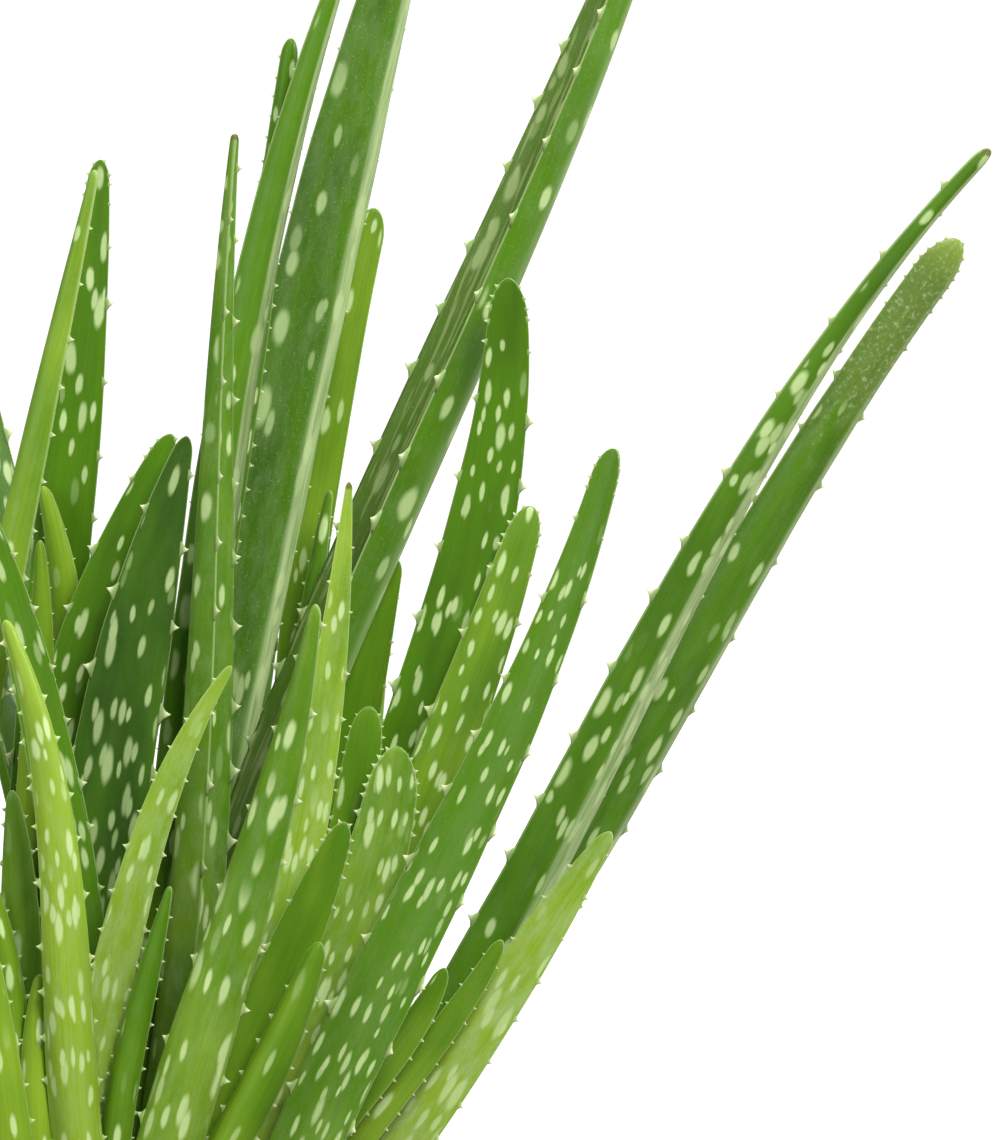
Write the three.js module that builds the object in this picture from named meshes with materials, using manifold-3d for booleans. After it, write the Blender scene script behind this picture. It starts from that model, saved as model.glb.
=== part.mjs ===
// A clump of aloe in a plain round clay pot. Millimetres, +Z up.
// The origin is the middle of the pot's flat underside; the front of the plant looks along -Y.
import * as THREE from "three";
import { mergeVertices } from "three/addons/utils/BufferGeometryUtils.js";
import Module from "manifold-3d";

const wasm = await Module();
wasm.setup();

// ---- driving dimensions ----
const POT_HEIGHT = 118;
const RIM_RADIUS = 72; // outside of the rim band
const RIM_BAND = 27; // height of the rim band
const RIM_STEP = 4.5; // how far the band stands out from the body
const FOOT_RADIUS = 51; // outside of the body at the floor
const WALL = 6;
const FLOOR = 8;
const DRAIN_RADIUS = 4;
const DRAIN_CIRCLE = 24;
const SOIL_TOP = 106; // height of the soil above the ground
const GAP = 0.3; // between pieces that touch
const ROOM = 0.5; // cut round a piece for its neighbours
const SMALLEST = 0.12; // detail finer than this is left out
const STEM_DEPTH = 18; // of a stem below the soil
const TOOTH_SPACING = 38; // of the rings of a leaf, each with its pair of teeth
const FEWEST_RINGS = 3;
const MOST_RINGS = 9;
const EYE_DISTANCE = 2000; // the leaf table's front view: eye to the view's centre
const EYE_RISE = THREE.MathUtils.degToRad(5.5);
const VIEW_CENTRE = [97.5, 190]; // across, and above the soil

// The short stems: centre across and back, radius at the soil, height above it.
const STEMS = {
  mother: [2, 10, 11, 34],
  right: [42, -8, 8.5, 24],
  right_front: [31, -31, 8.5, 26],
  right_back: [36, 19, 8.5, 26],
  front: [3, -37, 9, 28],
  left: [-26, -3, 10, 30],
  left_front: [-27, -32, 7, 20],
  front_left: [-17, -49, 6, 18],
  far_left: [-47, -9, 8, 22],
};

// Leaves of the front view. Each row: the foot's height above the soil and its width, then three
// points up to the tip as [across, above the soil, back, width] in the front view's millimetres,
// then the way the upper face looks (0 back, 90 right, 180 to the viewer) at foot and tip,
// and how deep the upper face is channelled as a share of the width.
// Young leaves are fused with the stem that they grow from, the others are pieces of their own.
const YOUNG_LEAVES = {
  mother: [
    [27, 8, [16, 120, 13, 8], [32, 225, 13, 8.5], [45.3, 323, 13, 4], 0, 0, 0.1],
  ],
  right: [
    [8, 7, [56, 50, -29, 7.5], [71, 69, -30, 7.8], [83.8, 90.5, -31, 3.2], 180, 190, 0.1],
    [10, 7, [64.5, 50, -24, 7], [82, 73, -25, 7], [98, 97.5, -26, 3], 180, 190, 0.1],
  ],
  right_front: [
    [16, 10, [52, 80, -20, 11], [59, 118, -20, 11], [65, 156, -19, 7.5], 172, 180, 0.08],
  ],
  right_back: [
    [18, 7, [42, 90, 27, 7], [49, 170, 29, 6.5], [55, 210, 29, 1.8], 0, 0, 0.1],
  ],
  front: [
    [14, 8, [1.5, 50, -41, 8], [8, 83, -45, 6.5], [15, 111, -48, 1.6], 0, 10, 0.1],
  ],
  left: [
    [24, 8, [-15, 105, 4.5, 9], [-10, 165, 4.5, 9.5], [-16.8, 211, 4, 3], 0, 0, 0.1],
    [20, 7, [-22, 105, -13, 7], [-17.5, 165, -18, 7], [-17.5, 197.5, -18, 2], 0, 0, 0.1],
  ],
  left_front: [
    [12, 10, [-23, 60, -36, 10], [-22.5, 100, -37, 10], [-24.5, 135, -38, 2.5], 0, 0, 0.1],
  ],
  front_left: [
    [6, 9, [-24, 40, -58, 11], [-27.5, 68, -61, 9.5], [-31, 100, -62, 3], 0, 0, 0.1],
    [8, 7, [-18, 42, -46, 8], [-18.5, 68, -45.5, 7.5], [-17.5, 89, -45.5, 2.5], 0, 0, 0.1],
    [6, 8, [-23, 50, -41.5, 8.5], [-25, 82, -41.5, 8], [-30, 112, -42, 3], 0, 0, 0.1],
  ],
  far_left: [
    [16, 8, [-59, 60, -5, 9], [-63, 105, -7, 8], [-66, 150, -9, 2.5], 20, 20, 0.1],
  ],
};
const SEEN_LEAVES = {
  front: [
    [9, 16, [21.5, 70, -49, 16.5], [40, 130, -55, 11], [51.5, 181.5, -58, 3], 15, 20, 0.1],
    [12, 10, [30, 47.5, -44, 10.5], [43.8, 75, -47, 9], [52.5, 97, -49, 4], 10, 10, 0.1],
    [10, 13, [-9, 60, -48, 12.8], [-13, 122, -54, 10], [-26.3, 177.5, -57, 2.6], -10, -15, 0.12],
    [15, 12, [33.8, 70, -37, 12.5], [48, 101, -39, 11.5], [58.8, 127, -40, 5], 175, 175, 0.1],
    [20, 11, [36, 80, -29, 13], [52, 145, -27, 10], [59.8, 212, -25, 1.6], 172, 172, 0.12],
  ],
  right_front: [
    [8, 15, [65, 77.5, -38, 19], [98.3, 144.6, -41, 14.6], [126.2, 220.4, -43, 7], 205, 212, 0.18],
    [14, 13, [53, 82, -27, 16], [66.5, 118, -26.5, 15.5], [71.8, 146, -26, 10], 175, 185, 0.08],
    [20, 12, [59.5, 85, -14, 16.5], [85.2, 148, -10, 14.6], [105.5, 206, -8, 7.5], 180, 190, 0.08],
  ],
  right: [
    [12, 12, [75.5, 50, -19, 12.5], [99, 85, -20, 11.8], [125.3, 124.5, -21, 3.5], 180, 190, 0.1],
    [16, 16, [102.5, 106, -10, 20], [155.5, 206.5, -12, 12], [220, 295.2, -14, 4], 312, 320, 0.1],
    [20, 15, [100.9, 94, 8, 20], [158.6, 190.3, 8, 14.1], [212.5, 272.5, 7, 11], 318, 345, 0.1],
  ],
  mother: [
    [16, 18, [20.5, 118, -12, 20.5], [26.3, 228, -16, 10.5], [31.5, 299, -16, 2], 106, 104, 0.3],
    [14, 20, [42.5, 137, 12, 24.5], [93.5, 254.5, 14, 23.5], [141.5, 374.5, 15, 8.6], -105, -105, 0.3],
    [21, 12, [16, 115, 0, 14], [33.3, 245, 2, 11.5], [60.5, 347.5, 4, 3.5], 335, 340, 0.15],
    [24, 18, [26, 140, 31, 20], [50.2, 257.5, 34, 20.6], [80.3, 372.5, 35, 6.8], 338, 342, 0.08],
    [12, 13, [-5, 80, -21, 13], [-15, 143, -27, 12], [-35, 215, -30, 2], 175, 170, 0.1],
  ],
  right_back: [
    [16, 13, [57.5, 95, 3, 17], [88.1, 183.2, -2, 17.8], [99.6, 263, -9, 8], 180, 190, 0.08],
    [20, 10, [51, 95, 17, 11.5], [63, 160, 17, 11], [72, 192.5, 16, 3], 180, 180, 0.1],
    [24, 9, [42, 120, 39, 9], [53, 215, 42, 10], [66.3, 280.5, 42, 7.5], 180, 185, 0.08],
  ],
  left: [
    [9, 17, [-8, 90, -13, 21], [2.5, 153, -14, 20], [19.3, 223.5, -15, 3.5], 172, 178, 0.1],
    [13, 15, [-19, 90, -5, 18], [-6, 167, -5, 17], [15.5, 224, -5, 4.5], 175, 180, 0.1],
    [22, 13, [-20, 110, 8, 13.5], [-10.3, 212, 9, 14.6], [-2.3, 292.6, 9, 4.5], 185, 190, 0.08],
  ],
  left_front: [
    [10, 10, [-4, 68, -38, 11], [13, 132, -41, 8], [30.3, 166, -43, 1.8], 180, 190, 0.1],
  ],
  far_left: [
    [18, 12, [-40, 110, -13, 13], [-23, 205, -12, 10.5], [-3.5, 290, -11, 2.4], 40, 60, 0.2],
  ],
};

// Leaves of the back that the front ones hide, in rows of the same kind.
const BACK_LEAVES = {
  mother: [
    [14, 16, [26, 120, 48, 18], [38, 200, 70, 15], [52, 262, 88, 4], 0, 0, 0.12],
    [11, 15, [2, 90, 38, 16], [4, 145, 60, 14], [10, 190, 78, 3.5], 0, 0, 0.12],
  ],
  right_back: [
    [12, 13, [66, 90, 42, 15], [80, 150, 62, 13], [92, 200, 78, 4], 10, 10, 0.12],
    [9, 13, [52, 75, 48, 15], [60, 130, 72, 13], [69, 185, 92, 4], 5, 5, 0.12],
  ],
  right: [
    [10, 12, [88, 76, 20, 13], [113, 118, 34, 11.5], [133, 156, 44, 3], 30, 30, 0.12],
  ],
  left: [
    [12, 14, [-40, 105, 28, 15], [-52, 175, 46, 13], [-58, 236, 62, 3.5], -40, -40, 0.12],
  ],
};

// Leaves of the left side and low ones at the front. Each row: the way it leans (0 right, 90 back),
// how far it leans from upright, its length and width, and its foot's height above the soil.
const SIDE_LEAVES = {
  mother: [[120, 25, 345, 19, 18], [154, 18, 335, 19, 23]],
  left: [[143, 36, 270, 16, 8], [174, 27, 320, 18, 16]],
  far_left: [[142, 36, 250, 16, 8], [176, 45, 260, 16, 7], [208, 38, 235, 15, 10], [160, 22, 250, 14, 16]],
  left_front: [[196, 34, 215, 14, 7], [228, 28, 180, 13, 12], [252, 60, 105, 12, 8]],
  front: [[262, 64, 100, 13, 7]],
  right_front: [[303, 66, 96, 13, 7]],
};

// Young offsets, each fused with its stem. Each row: centre across and back, radius at the soil,
// number of leaves, length of the longest leaf, width, the way the first leaf leans.
const OFFSETS = {
  offset_back: [-10, 50, 5, 4, 80, 10, 60],
  offset_back_right: [20, 49, 5, 4, 72, 9, 100],
  offset_back_left: [-33, 37, 5, 4, 76, 10, 120],
};
const GOLDEN_ANGLE = 137.5;

const CLAY = { color: 0xb5673f, roughness: 0.9 };
const SOIL = { color: 0x33261b, roughness: 1 };
const LEAF = { color: 0x4f7f35, roughness: 0.5 };
const YOUNG_LEAF = { color: 0x6f9f3c, roughness: 0.5 };

// ---- solids and meshes ----
function solidFromMesh(positions, triangles) {
  return new wasm.Manifold(new wasm.Mesh({
    numProp: 3,
    vertProperties: new Float32Array(positions),
    triVerts: new Uint32Array(triangles),
  }));
}

// A solid turned round the Z axis; the profile [radius, z] starts and ends on the axis.
function turned(profile, segments) {
  const points = profile.map(([radius, z]) => new THREE.Vector2(radius, z));
  let geometry = new THREE.LatheGeometry(points, segments);
  geometry.rotateX(Math.PI / 2);
  geometry.deleteAttribute("normal");
  geometry.deleteAttribute("uv");
  geometry = mergeVertices(geometry, 1e-4);
  const index = geometry.index.array;
  const triangles = [];
  for (let i = 0; i < index.length; i += 3) {
    const [a, b, c] = index.slice(i, i + 3);
    if (a !== b && b !== c && c !== a) triangles.push(a, b, c);
  }
  const solid = solidFromMesh(geometry.attributes.position.array, triangles);
  return solid.volume() > 0 ? solid : solidFromMesh(geometry.attributes.position.array, triangles.reverse());
}

// Cuts can leave loose scraps: only the largest body is kept.
function largestBody(solid) {
  return solid.decompose().reduce((best, body) => (body.volume() > best.volume() ? body : best));
}

function meshOf(name, solid, finish) {
  const { vertProperties, triVerts } = solid.getMesh();
  const geometry = new THREE.BufferGeometry();
  geometry.setAttribute("position", new THREE.BufferAttribute(vertProperties, 3));
  geometry.setIndex(new THREE.BufferAttribute(triVerts, 1));
  geometry.computeVertexNormals();
  const mesh = new THREE.Mesh(geometry, new THREE.MeshStandardMaterial({ metalness: 0, ...finish }));
  mesh.name = name;
  return mesh;
}

function boxesMeet(a, b) {
  const p = a.boundingBox();
  const q = b.boundingBox();
  return [0, 1, 2].every((k) => p.min[k] < q.max[k] && q.min[k] < p.max[k]);
}

function cutBy(solid, cutters) {
  return cutters.reduce((rest, cutter) => (boxesMeet(rest, cutter) ? rest.subtract(cutter) : rest), solid);
}

// Room is cut for the pieces already placed, then for what thinning out the detail left of them.
function clearOf(solid, roomy, placed) {
  const rest = largestBody(cutBy(solid, roomy).simplify(SMALLEST));
  const touching = placed.filter((piece) => boxesMeet(rest, piece) && rest.intersect(piece).volume() > 0.002);
  return touching.length ? largestBody(cutBy(rest, touching)) : rest;
}

// ---- pot and soil ----
const bodyRadius = (z) => FOOT_RADIUS + ((RIM_RADIUS - RIM_STEP - FOOT_RADIUS) * z) / POT_HEIGHT;
const innerRadius = (z) => bodyRadius(z) - WALL;

function makePot() {
  const bandFoot = POT_HEIGHT - RIM_BAND;
  const pot = turned([
    [0, 0], [FOOT_RADIUS - 1.5, 0], [FOOT_RADIUS, 1.5],
    [bodyRadius(bandFoot), bandFoot], [RIM_RADIUS - 1.5, bandFoot + 1], [RIM_RADIUS - 0.5, bandFoot + 3],
    [RIM_RADIUS, POT_HEIGHT - 3], [RIM_RADIUS - 2.5, POT_HEIGHT],
    [innerRadius(POT_HEIGHT) + 1.5, POT_HEIGHT], [innerRadius(POT_HEIGHT), POT_HEIGHT - 2],
    [innerRadius(FLOOR), FLOOR], [0, FLOOR],
  ], 40);
  const drains = [30, 150, 270].map((angle) => {
    const drain = turned([[0, -1], [DRAIN_RADIUS, -1], [DRAIN_RADIUS, FLOOR + 1], [0, FLOOR + 1]], 12);
    const turn = THREE.MathUtils.degToRad(angle);
    return drain.translate([DRAIN_CIRCLE * Math.cos(turn), DRAIN_CIRCLE * Math.sin(turn), 0]);
  });
  return cutBy(pot, drains);
}

const soilRise = (x, y) => Math.sin(x / 9 + 1.3) * Math.cos(y / 7.5) + 0.6 * Math.sin(x / 4.3 - y / 5.1);

function makeSoil(stemHoles) {
  const edge = (z) => innerRadius(z) - GAP;
  const profile = [[0, FLOOR + GAP], [edge(FLOOR + GAP), FLOOR + GAP], [edge(SOIL_TOP - 3), SOIL_TOP - 3]];
  for (const share of [0.96, 0.65, 0.33, 0]) profile.push([share * edge(SOIL_TOP - 3), SOIL_TOP]);
  const heap = turned(profile, 24).warp((point) => {
    if (point[2] > SOIL_TOP - 1) point[2] += soilRise(point[0], point[1]);
  });
  return cutBy(heap, stemHoles);
}

// ---- stems ----
const holeFor = ([x, y, radius]) => turned([
  [0, -STEM_DEPTH - GAP], [radius + GAP, -STEM_DEPTH - GAP], [radius + GAP, 5], [0, 5],
], 10).translate([x, y, SOIL_TOP]);

function makeStem([x, y, radius, height], grow) {
  const profile = [
    [0, -STEM_DEPTH - grow], [radius * 0.8 + grow, -STEM_DEPTH - grow], [radius + grow, 2],
    [radius * 0.7 + grow, height * 0.5], [radius * 0.25 + grow, height * 0.95], [0, height + grow],
  ];
  return turned(profile, 10).translate([x, y, SOIL_TOP]);
}

// ---- leaves ----
// The place of a point given by where it is seen from the front and how far back it lies.
function seen(across, above, back) {
  const side = across - VIEW_CENTRE[0];
  const up = above - VIEW_CENTRE[1];
  const sin = Math.sin(EYE_RISE);
  const cos = Math.cos(EYE_RISE);
  const rise = (up * (EYE_DISTANCE + back * cos) - EYE_DISTANCE * back * sin)
    / (EYE_DISTANCE * cos + up * sin);
  const depth = EYE_DISTANCE + back * cos - rise * sin;
  return new THREE.Vector3(
    VIEW_CENTRE[0] + (side * depth) / EYE_DISTANCE, back, SOIL_TOP + VIEW_CENTRE[1] + rise);
}

// The foot of a leaf, on its stem's flank on the side that the leaf goes to.
function footOn([x, y, radius, height], rise, next) {
  const way = Math.atan2(next.y - y, next.x - x);
  const reach = radius * 0.5 * (1 - rise / height);
  return new THREE.Vector3(x + reach * Math.cos(way), y + reach * Math.sin(way), SOIL_TOP + rise);
}

// A leaf's middle line and width, through four points at their shares of the length.
function makeBlade(points, widths, faces, channel) {
  const steps = [1, 2, 3].map((i) => points[i].distanceTo(points[i - 1]));
  const length = steps[0] + steps[1] + steps[2];
  const shares = [0, steps[0] / length, (steps[0] + steps[1]) / length, 1];
  const weights = (t) => shares.map((own, i) =>
    shares.reduce((product, other, j) => (i === j ? product : product * ((t - other) / (own - other))), 1));
  const place = (t) => points.reduce(
    (sum, point, i) => sum.addScaledVector(point, weights(t)[i]), new THREE.Vector3());
  const tipStart = 1 - (1.1 * widths[3]) / length;
  const widthAt = (t) => {
    const width = widths.reduce((sum, value, i) => sum + value * weights(t)[i], 0);
    const inTip = Math.max(0, (t - tipStart) / (1 - tipStart));
    return width * Math.sqrt(Math.max(0, 1 - inTip * inTip));
  };
  // Frame at a share t: along the leaf, out of its upper face, and across it.
  const frame = (t) => {
    const along = place(Math.min(t + 0.01, 1)).sub(place(Math.min(t + 0.01, 1) - 0.02)).normalize();
    const face = THREE.MathUtils.degToRad(faces[0] + (faces[1] - faces[0]) * t);
    const out = new THREE.Vector3(Math.sin(face), Math.cos(face), 0);
    out.addScaledVector(along, -out.dot(along)).normalize();
    return { along, out, across: new THREE.Vector3().crossVectors(out, along) };
  };
  return { length, place, widthAt, frame, tipStart, channel };
}

// A closed blade of six-sided rings with a tooth on both margins at each ring. Swollen by grow,
// its sharp margins get two edges, an upper and a lower one, so that it holds the plain blade.
function bladeSolid(blade, grow) {
  const { length, place, widthAt, frame, tipStart, channel } = blade;
  const count = Math.min(MOST_RINGS, Math.max(FEWEST_RINGS, Math.round(length / TOOTH_SPACING)));
  const positions = [];
  const triangles = [];
  const addPoint = (t, across, out) => {
    const { across: side, out: up } = frame(t);
    const point = place(t).addScaledVector(side, across).addScaledVector(up, out);
    positions.push(point.x, point.y, point.z);
    return positions.length / 3 - 1;
  };
  const marginPoints = (t, side, extra) => {
    const across = side * (widthAt(t) / 2 + grow + extra);
    const out = channel * widthAt(t);
    const upper = addPoint(t, across, out + 1.2 * grow);
    return [upper, grow ? addPoint(t, across, out - 1.2 * grow) : upper];
  };
  const ringAt = (t) => {
    const width = widthAt(t);
    const thick = 0.8 + 0.24 * width;
    const bulge = channel * width * 0.36 - 0.6 * thick - grow;
    return {
      t,
      margins: { left: marginPoints(t, -1, 0), right: marginPoints(t, 1, 0) },
      top: addPoint(t, 0, 0.2 * thick + grow),
      left: addPoint(t, -0.3 * width, bulge),
      low: addPoint(t, 0, -0.8 * thick - grow),
      right: addPoint(t, 0.3 * width, bulge),
    };
  };
  // The margin between two rings: a ring's point, the tooth's tip, its root, the next ring's point.
  const toothedMargin = (start, end, name) => {
    const side = name === "left" ? -1 : 1;
    const long = Math.min(2.4, 0.9 + 0.12 * widthAt((start.t + end.t) / 2));
    const tip = marginPoints(start.t + 2 / length, side, long + grow);
    const root = marginPoints(start.t + (3.2 + 2 * grow) / length, side, 0);
    const points = [start.margins[name], tip, root, end.margins[name]];
    return [points.map((pair) => pair[0]), points.map((pair) => pair[1])];
  };
  const face = (flip, ...points) => {
    const [first, ...rest] = flip ? points.reverse() : points;
    for (let i = 1; i < rest.length; i += 1) triangles.push(first, rest[i - 1], rest[i]);
  };
  const flank = (flip, [a, b, c, d], railStart, railEnd) => {
    face(flip, railStart, a, b);
    face(flip, railStart, b, c);
    face(flip, c, railEnd, railStart);
    face(flip, c, d, railEnd);
  };
  const joinRings = (start, end) => {
    for (const name of ["left", "right"]) {
      const onLeft = name === "left";
      const [upper, lower] = toothedMargin(start, end, name);
      flank(!onLeft, upper, start.top, end.top);
      flank(onLeft, lower, start[name], end[name]);
      for (let i = 0; grow && i < 3; i += 1) face(!onLeft, upper[i], lower[i], lower[i + 1], upper[i + 1]);
      face(!onLeft, start[name], start.low, end.low, end[name]);
    }
  };
  const outline = ({ margins, top, left, low, right }) =>
    [...new Set([...margins.left, left, low, right, ...margins.right.toReversed(), top])];

  const rings = [];
  for (let i = 0; i <= count; i += 1) {
    rings.push(ringAt(i ? (i / count) * (tipStart + (1 - tipStart) * 0.55) : -grow / length));
    if (i) joinRings(rings[i - 1], rings[i]);
  }
  face(true, ...outline(rings[0]));
  const apex = addPoint(1 + grow / length, 0, 0);
  const last = outline(rings[count]);
  last.forEach((point, i) => face(false, point, last[(i + 1) % last.length], apex));
  const solid = solidFromMesh(positions, triangles);
  return solid.volume() > 0 ? solid : solidFromMesh(positions, triangles.reverse());
}

function seenBlade(stem, row) {
  const [rise, footWidth, low, mid, tip, faceStart, faceEnd, channel] = row;
  const upper = [low, mid, tip].map(([across, above, back]) => seen(across, above, back));
  const points = [footOn(stem, rise, upper[0]), ...upper];
  return makeBlade(points, [footWidth, low[3], mid[3], tip[3]], [faceStart, faceEnd], channel);
}

// A blade that leans away from its stem with the upper face turned in, a little more with height.
function leaningBlade(stem, [way, lean, length, width, rise]) {
  const turn = THREE.MathUtils.degToRad(way);
  const out = new THREE.Vector3(Math.cos(turn), Math.sin(turn), 0);
  const points = [footOn(stem, rise, new THREE.Vector3(stem[0], stem[1], 0).add(out))];
  for (const bend of [0.75, 1, 1.3]) {
    const slope = THREE.MathUtils.degToRad(Math.min(lean * bend, 78));
    const step = points.at(-1).clone().addScaledVector(out, (Math.sin(slope) * length) / 3);
    step.z += (Math.cos(slope) * length) / 3;
    points.push(step);
  }
  const face = THREE.MathUtils.radToDeg(Math.atan2(-out.x, -out.y));
  return makeBlade(points, [width * 0.8, width, width * 0.75, 3], [face, face], 0.12);
}

function offsetSolid([x, y, radius, count, length, width, firstWay], grow) {
  const stem = [x, y, radius, radius * 3];
  const parts = [makeStem(stem, grow)];
  for (let i = 0; i < count; i += 1) {
    const share = i / (count - 1);
    const row = [firstWay + i * GOLDEN_ANGLE, 42 - 30 * share, length * (0.7 + 0.3 * share), width,
      6 + share * radius * 1.6];
    parts.push(bladeSolid(leaningBlade(stem, row), grow));
  }
  return wasm.Manifold.union(parts);
}

// ---- the plant ----
const group = new THREE.Group();
const placed = [];
const roomy = [];

// makeSolid(grow) gives a piece swollen by grow; each piece makes room for those before it.
function addGrowth(name, makeSolid, finish) {
  const solid = clearOf(makeSolid(0), roomy, placed);
  group.add(meshOf(name, solid, finish));
  placed.push(solid);
  roomy.push(makeSolid(ROOM));
}

for (const [name, stem] of Object.entries(STEMS)) {
  addGrowth(`heart_${name}`, (grow) => wasm.Manifold.union([
    makeStem(stem, grow),
    ...YOUNG_LEAVES[name].map((row) => bladeSolid(seenBlade(stem, row), grow)),
  ]), YOUNG_LEAF);
}
const leafCount = {};
function addLeaves(table, bladeOf) {
  for (const [name, rows] of Object.entries(table)) {
    for (const row of rows) {
      leafCount[name] = (leafCount[name] ?? 0) + 1;
      const blade = bladeOf(STEMS[name], row);
      addGrowth(`leaf_${name}_${leafCount[name]}`, (grow) => bladeSolid(blade, grow), LEAF);
    }
  }
}
addLeaves(SEEN_LEAVES, seenBlade);
addLeaves(BACK_LEAVES, seenBlade);
addLeaves(SIDE_LEAVES, leaningBlade);
for (const [name, row] of Object.entries(OFFSETS)) {
  addGrowth(name, (grow) => offsetSolid(row, grow), YOUNG_LEAF);
}
group.add(meshOf("soil", makeSoil([...Object.values(STEMS), ...Object.values(OFFSETS)].map(holeFor)), SOIL));
group.add(meshOf("pot", makePot(), CLAY));

export default group;
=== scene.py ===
import math

import bmesh
import bpy
import numpy as np
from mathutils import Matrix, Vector, noise


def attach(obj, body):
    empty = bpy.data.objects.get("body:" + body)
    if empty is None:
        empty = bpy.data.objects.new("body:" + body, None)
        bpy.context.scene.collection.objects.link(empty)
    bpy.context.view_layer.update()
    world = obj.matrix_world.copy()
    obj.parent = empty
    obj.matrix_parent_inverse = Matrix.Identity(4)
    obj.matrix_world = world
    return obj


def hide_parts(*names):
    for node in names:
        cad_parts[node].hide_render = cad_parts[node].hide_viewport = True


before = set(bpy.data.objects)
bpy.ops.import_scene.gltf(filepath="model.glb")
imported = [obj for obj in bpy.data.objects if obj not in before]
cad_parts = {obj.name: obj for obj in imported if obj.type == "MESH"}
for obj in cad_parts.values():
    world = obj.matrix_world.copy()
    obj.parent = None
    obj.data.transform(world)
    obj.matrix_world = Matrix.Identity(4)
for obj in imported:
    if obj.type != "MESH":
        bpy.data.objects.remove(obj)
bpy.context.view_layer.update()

MM = 0.001

# ---- driving dimensions ----
POT_HEIGHT = 118
RIM_RADIUS = 72  # outside of the rim band
RIM_BAND = 27  # height of the rim band
RIM_STEP = 4.5  # how far the band stands out from the body
FOOT_RADIUS = 51  # outside of the body at the floor
WALL = 6
FLOOR = 8
DRAIN_RADIUS = 4
DRAIN_CIRCLE = 24
DRAIN_ANGLES = (30, 150, 270)
SOIL_TOP = 106  # height of the soil above the ground
GAP = 0.3  # between pieces that touch
STEM_DEPTH = 18  # of a stem below the soil
GOLDEN_ANGLE = 137.5  # from one leaf of an offset to the next

# ---- the photograph's view ----
PHOTO_SIZE = (1000, 1140)
PHOTO_SCALE = 4  # pixels a millimetre, in the plane of the pot's middle
EYE_DISTANCE = 2000
EYE_RISE = math.radians(5.5)
VIEW_CENTRE = (97.5, 190)  # across, and above the soil

# ---- the plant ----
# The short stems: centre across and back, radius at the soil, height above it.
STEMS = {
    "mother": (2, 10, 11, 34),
    "right": (42, -8, 8.5, 24),
    "right_front": (31, -31, 8.5, 26),
    "right_back": (36, 19, 8.5, 26),
    "front": (3, -37, 9, 28),
    "left": (-26, -3, 10, 30),
    "left_front": (-27, -32, 7, 20),
    "front_left": (-17, -49, 6, 18),
    "far_left": (-47, -9, 8, 22),
}

# Leaves of the front view. Each row: the foot's height above the soil and its width, then three
# points up to the tip as (across, above the soil, back, width) in the front view's millimetres,
# then the way the upper face looks (0 back, 90 right, 180 to the viewer) at foot and tip,
# and how deep the upper face is channelled as a share of the width.
YOUNG_LEAVES = {
    "mother": [
        (27, 8, (16, 120, 13, 8), (32, 225, 13, 8.5), (45.3, 323, 13, 4), 0, 0, 0.1),
    ],
    "right": [
        (8, 7, (56, 50, -29, 7.5), (71, 69, -30, 7.8), (83.8, 90.5, -31, 3.2), 180, 190, 0.1),
        (10, 7, (64.5, 50, -24, 7), (82, 73, -25, 7), (98, 97.5, -26, 3), 180, 190, 0.1),
    ],
    "right_front": [
        (16, 10, (52, 80, -20, 11), (59, 118, -20, 11), (65, 156, -19, 7.5), 172, 180, 0.08),
    ],
    "right_back": [
        (18, 7, (42, 90, 27, 7), (49, 170, 29, 6.5), (55, 210, 29, 1.8), 0, 0, 0.1),
    ],
    "front": [
        (14, 8, (1.5, 50, -41, 8), (8, 83, -45, 6.5), (15, 111, -48, 1.6), 0, 10, 0.1),
    ],
    "left": [
        (24, 8, (-15, 105, 4.5, 9), (-10, 165, 4.5, 9.5), (-16.8, 211, 4, 3), 0, 0, 0.1),
        (20, 7, (-22, 105, -13, 7), (-17.5, 165, -18, 7), (-17.5, 197.5, -18, 2), 0, 0, 0.1),
    ],
    "left_front": [
        (12, 10, (-23, 60, -36, 10), (-22.5, 100, -37, 10), (-24.5, 135, -38, 2.5), 0, 0, 0.1),
    ],
    "front_left": [
        (6, 9, (-24, 40, -58, 11), (-27.5, 68, -61, 9.5), (-31, 100, -62, 3), 0, 0, 0.1),
        (8, 7, (-18, 42, -46, 8), (-18.5, 68, -45.5, 7.5), (-17.5, 89, -45.5, 2.5), 0, 0, 0.1),
        (6, 8, (-23, 50, -41.5, 8.5), (-25, 82, -41.5, 8), (-30, 112, -42, 3), 0, 0, 0.1),
    ],
    "far_left": [
        (16, 8, (-59, 60, -5, 9), (-63, 105, -7, 8), (-66, 150, -9, 2.5), 20, 20, 0.1),
    ],
}
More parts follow.
